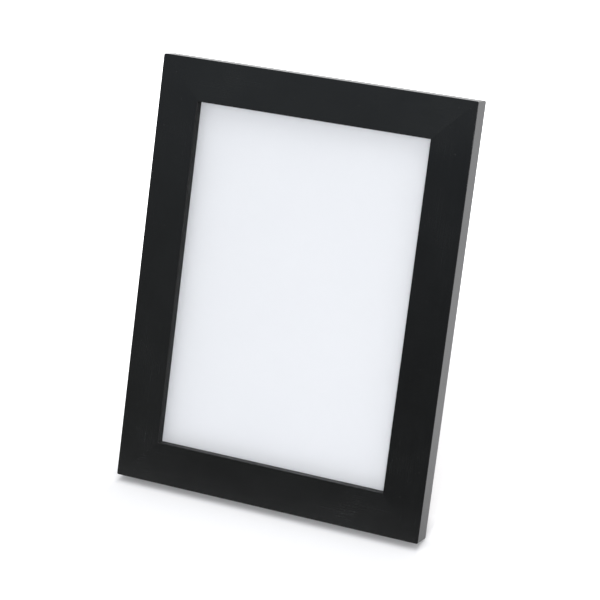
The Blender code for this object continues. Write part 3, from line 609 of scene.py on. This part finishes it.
def sharp_triangle(half, drop):
    """Height and half width of the sharp triangle whose rounded form reaches half and drop.

    How far a rounded corner stands off the sharp one depends on the slope, so it is found step by step.
    """
    slope = math.atan2(drop, half)
    for _ in range(SLOPE_STEPS):
        sharp_half = half - RING_CORNER + RING_CORNER / math.tan(slope / 2)
        tip = math.pi / 2 - slope
        sharp_drop = drop + RING_CORNER / math.sin(tip) - RING_CORNER
        slope = math.atan2(sharp_drop, sharp_half)
    return sharp_drop, sharp_half


def rounded(corners):
    """A polygon whose corners are replaced by tangent arcs."""
    points = []
    for index, here in enumerate(corners):
        before = (corners[index - 1] - here).normalized()
        after = (corners[(index + 1) % len(corners)] - here).normalized()
        half = before.angle(after) / 2
        centre = here + (before + after).normalized() * RING_CORNER / math.sin(half)
        start = here + before * RING_CORNER / math.tan(half) - centre
        end = here + after * RING_CORNER / math.tan(half) - centre
        for step in range(RING_CORNER_STEPS + 1):
            points.append(centre + start.slerp(end, step / RING_CORNER_STEPS).normalized() * RING_CORNER)
    return points


def build_ring(metal):
    """The hanger ring as one bent wire with round corners, hanging plumb from its bar."""
    low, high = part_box("hanger_ring")
    radius = (high.y - low.y) / 2
    joint = next(item for item in frame["joints"] if item["name"] == "ring_swing")
    bar = Vector(joint["pos_m"])
    half = high.x - radius
    drop = bar.z - low.z - radius
    sharp_drop, sharp_half = sharp_triangle(half, drop)
    corners = [Vector((-sharp_half, 0)), Vector((sharp_half, 0)), Vector((0, -sharp_drop))]
    points = rounded(corners)
    curve = bpy.data.curves.new("hanger_ring_wire", "CURVE")
    curve.dimensions = "3D"
    curve.bevel_depth = radius
    curve.bevel_resolution = WIRE_RESOLUTION
    spline = curve.splines.new("POLY")
    spline.points.add(len(points) - 1)
    for target, point in zip(spline.points, points):
        target.co = (bar.x + point.x, bar.y, bar.z + point.y, 1)
    spline.use_cyclic_u = True
    curve.materials.append(metal)
    ring = bpy.data.objects.new("hanger_ring_wire", curve)
    bpy.context.scene.collection.objects.link(ring)
    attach(ring, packed_body("hanger_ring"))
    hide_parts("hanger_ring")


# Kept solids


def dress(node, material):
    """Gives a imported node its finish."""
    slots = frame["nodes"][node].material_slots
    slots[0].link = "OBJECT"
    slots[0].material = material


def dress_solids():
    dress("glass_pane", window_glass())
    dress("photo_insert", print_paper())
    dress("filler_card", grey_card())
    board = pressed_fibreboard()
    dress("back_board", board)
    dress("easel_strut", board)
    steel = blued_steel()
    for node in frame["nodes"]:
        if node.startswith("v_nail"):
            dress(node, steel)


# Studio


def build_floor():
    """A pale floor that shows white to the camera and in reflections. It keeps the object's shadow under the front
    edge, and painted light that glows for the camera lightens the shadow behind, beside and in front of the frame.
    """
    shape = bmesh.new()
    corners = [(-FLOOR_HALF, FLOOR_FRONT), (FLOOR_HALF, FLOOR_FRONT), (FLOOR_HALF, FLOOR_HALF)]
    corners.append((-FLOOR_HALF, FLOOR_HALF))
    shape.faces.new([shape.verts.new((across, back, 0)) for across, back in corners])
    mesh = bpy.data.meshes.new("floor")
    shape.to_mesh(mesh)
    shape.free()
    floor = bpy.data.objects.new("floor", mesh)
    bpy.context.scene.collection.objects.link(floor)
    material, nodes, shader = new_material("pale_floor")
    shader.inputs["Base Color"].default_value = FLOOR_TONE
    shader.inputs["Roughness"].default_value = FLOOR_ROUGHNESS
    shader.inputs["Specular IOR Level"].default_value = 0.0
    shader.inputs["Emission Color"].default_value = grey(1)
    path = nodes.add("ShaderNodeLightPath")
    shiny = nodes.calc("MAXIMUM", path.outputs["Is Glossy Ray"], path.outputs["Is Transmission Ray"])
    away = nodes.add("ShaderNodeVectorMath", {0: nodes.places()}, operation="LENGTH").outputs["Value"]
    place = nodes.add("ShaderNodeSeparateXYZ", {"Vector": nodes.places()})
    across = nodes.calc("ABSOLUTE", place.outputs["X"])
    behind = place.outputs["Y"]
    # Painted light: camera-only glow that lightens the object's shadow in front of, behind and beside the frame
    in_front = nodes.spread(behind, *IN_FRONT_SEEN)
    beside = nodes.spread(across, *BESIDE_SEEN)
    seen = nodes.calc("ADD", nodes.spread(away, *OPEN_FLOOR_SEEN), nodes.spread(behind, *BEHIND_SEEN))
    seen = nodes.calc("ADD", seen, nodes.calc("MAXIMUM", in_front, beside))
    seen = nodes.calc("MULTIPLY", path.outputs["Is Camera Ray"], seen)
    near = nodes.spread(behind, *NEAR_MIRRORED)
    far = nodes.spread(behind, *FAR_MIRRORED)
    mirrored = nodes.calc("MULTIPLY", shiny, nodes.calc("ADD", near, far))
    nodes.feed(shader, {"Emission Strength": nodes.calc("ADD", seen, mirrored)})
    mesh.materials.append(material)


def build_world():
    """White to the camera. Reflections see a white studio that is dim behind the camera."""
    world = bpy.data.worlds.new("studio")
    bpy.context.scene.world = world
    world.use_nodes = True
    tree = world.node_tree
    nodes = Nodes(tree)
    background = tree.nodes["Background"]
    path = nodes.add("ShaderNodeLightPath")
    shiny = nodes.calc("MAXIMUM", path.outputs["Is Glossy Ray"], path.outputs["Is Transmission Ray"])
    direction = nodes.add("ShaderNodeTexCoord").outputs["Generated"]
    height = nodes.add("ShaderNodeSeparateXYZ", {"Vector": direction}).outputs["Z"]
    dim_way = nodes.add("ShaderNodeCombineXYZ", DIM_WAY).outputs["Vector"]
    facing = nodes.add("ShaderNodeVectorMath", {0: direction, 1: dim_way}, operation="DOT_PRODUCT")
    facing = facing.outputs["Value"]

    walls = nodes.spread(facing, *WALLS_MIRRORED)
    mirrored = nodes.calc("ADD", walls, nodes.spread(height, *HEIGHT_MIRRORED))
    over_ambient = nodes.calc("MULTIPLY", shiny, nodes.calc("SUBTRACT", mirrored, AMBIENT))
    others = nodes.calc("ADD", over_ambient, AMBIENT)
    to_white = nodes.calc("SUBTRACT", 1.0, others)
    lift = nodes.calc("MULTIPLY", path.outputs["Is Camera Ray"], to_white)
    nodes.feed(background, {"Strength": nodes.calc("ADD", others, lift)})

    cool = nodes.calc("MULTIPLY", nodes.spread(facing, *COOL_WALLS), nodes.spread(height, *COOL_HEIGHT))
    cool = nodes.calc("MULTIPLY", shiny, cool)
    nodes.feed(background, {"Color": nodes.blend(cool, grey(1), COOL_TONE)})


def add_lamp(name, place, target, size, power):
    """A square lamp that points at its target."""
    light = bpy.data.lights.new(name, "AREA")
    light.shape = "SQUARE"
    light.size = size
    light.energy = power
    lamp = bpy.data.objects.new(name, light)
    bpy.context.scene.collection.objects.link(lamp)
    lamp.location = place
    lamp.rotation_euler = (Vector(target) - Vector(place)).to_track_quat("-Z", "Y").to_euler()


def build_lamps():
    add_lamp("front_softbox", FRONT_LAMP_PLACE, LAMP_TARGET, FRONT_LAMP_SIZE, FRONT_LAMP_POWER)
    add_lamp("top_softbox", TOP_LAMP_PLACE, LAMP_TARGET, TOP_LAMP_SIZE, TOP_LAMP_POWER)


def build_camera():
    azimuth = math.radians(CAMERA_AZIMUTH)
    elevation = math.radians(CAMERA_ELEVATION)
    level = math.cos(elevation)
    back = Vector((math.sin(azimuth) * level, -math.cos(azimuth) * level, math.sin(elevation)))
    data = bpy.data.cameras.new("camera")
    data.sensor_width = SENSOR_WIDTH_MM
    data.lens = FOCAL_LENGTH_MM
    camera = bpy.data.objects.new("camera", data)
    bpy.context.scene.collection.objects.link(camera)
    camera.location = Vector(CAMERA_TARGET) + back * CAMERA_DISTANCE
    camera.rotation_euler = (-back).to_track_quat("-Z", "Y").to_euler()
    bpy.context.scene.camera = camera


build_camera()
panel = panel_turn()
build_rails(panel)
plating = zinc_plate()
build_metal(plating)
build_ring(plating)
dress_solids()
build_floor()
build_world()
build_lamps()
bpy.context.scene.view_settings.view_transform = "Standard"
